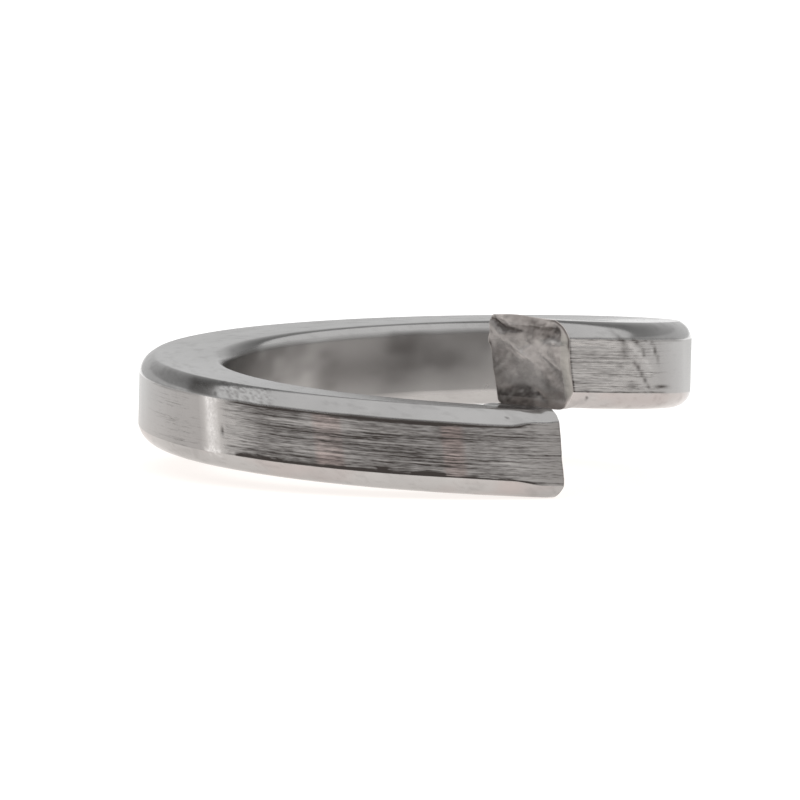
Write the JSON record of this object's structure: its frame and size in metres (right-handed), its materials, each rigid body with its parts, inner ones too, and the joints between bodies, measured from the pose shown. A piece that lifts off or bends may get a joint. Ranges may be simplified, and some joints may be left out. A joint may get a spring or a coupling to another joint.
{
  "type": "spring lock washer",
  "caption": "Split spring lock washer: a coil of near-square stainless steel wire, cut through and sprung apart, with torn end faces and a round bore.",
  "frame": {"origin": "on the bore's axis, level with the lowest edge of the lower end", "axes": "+Z along the bore's axis, up; -Y towards the viewer's side, with the cut 33 degrees from -Y towards +X"},
  "size_m": [0.0292, 0.0292, 0.0093],
  "materials": {
    "steel": "drawn and tumbled, satin, with drawing lines along the outer wall"
  },
  "bodies": {
    "root": {"washer": "steel"}
  },
  "joints": []
}
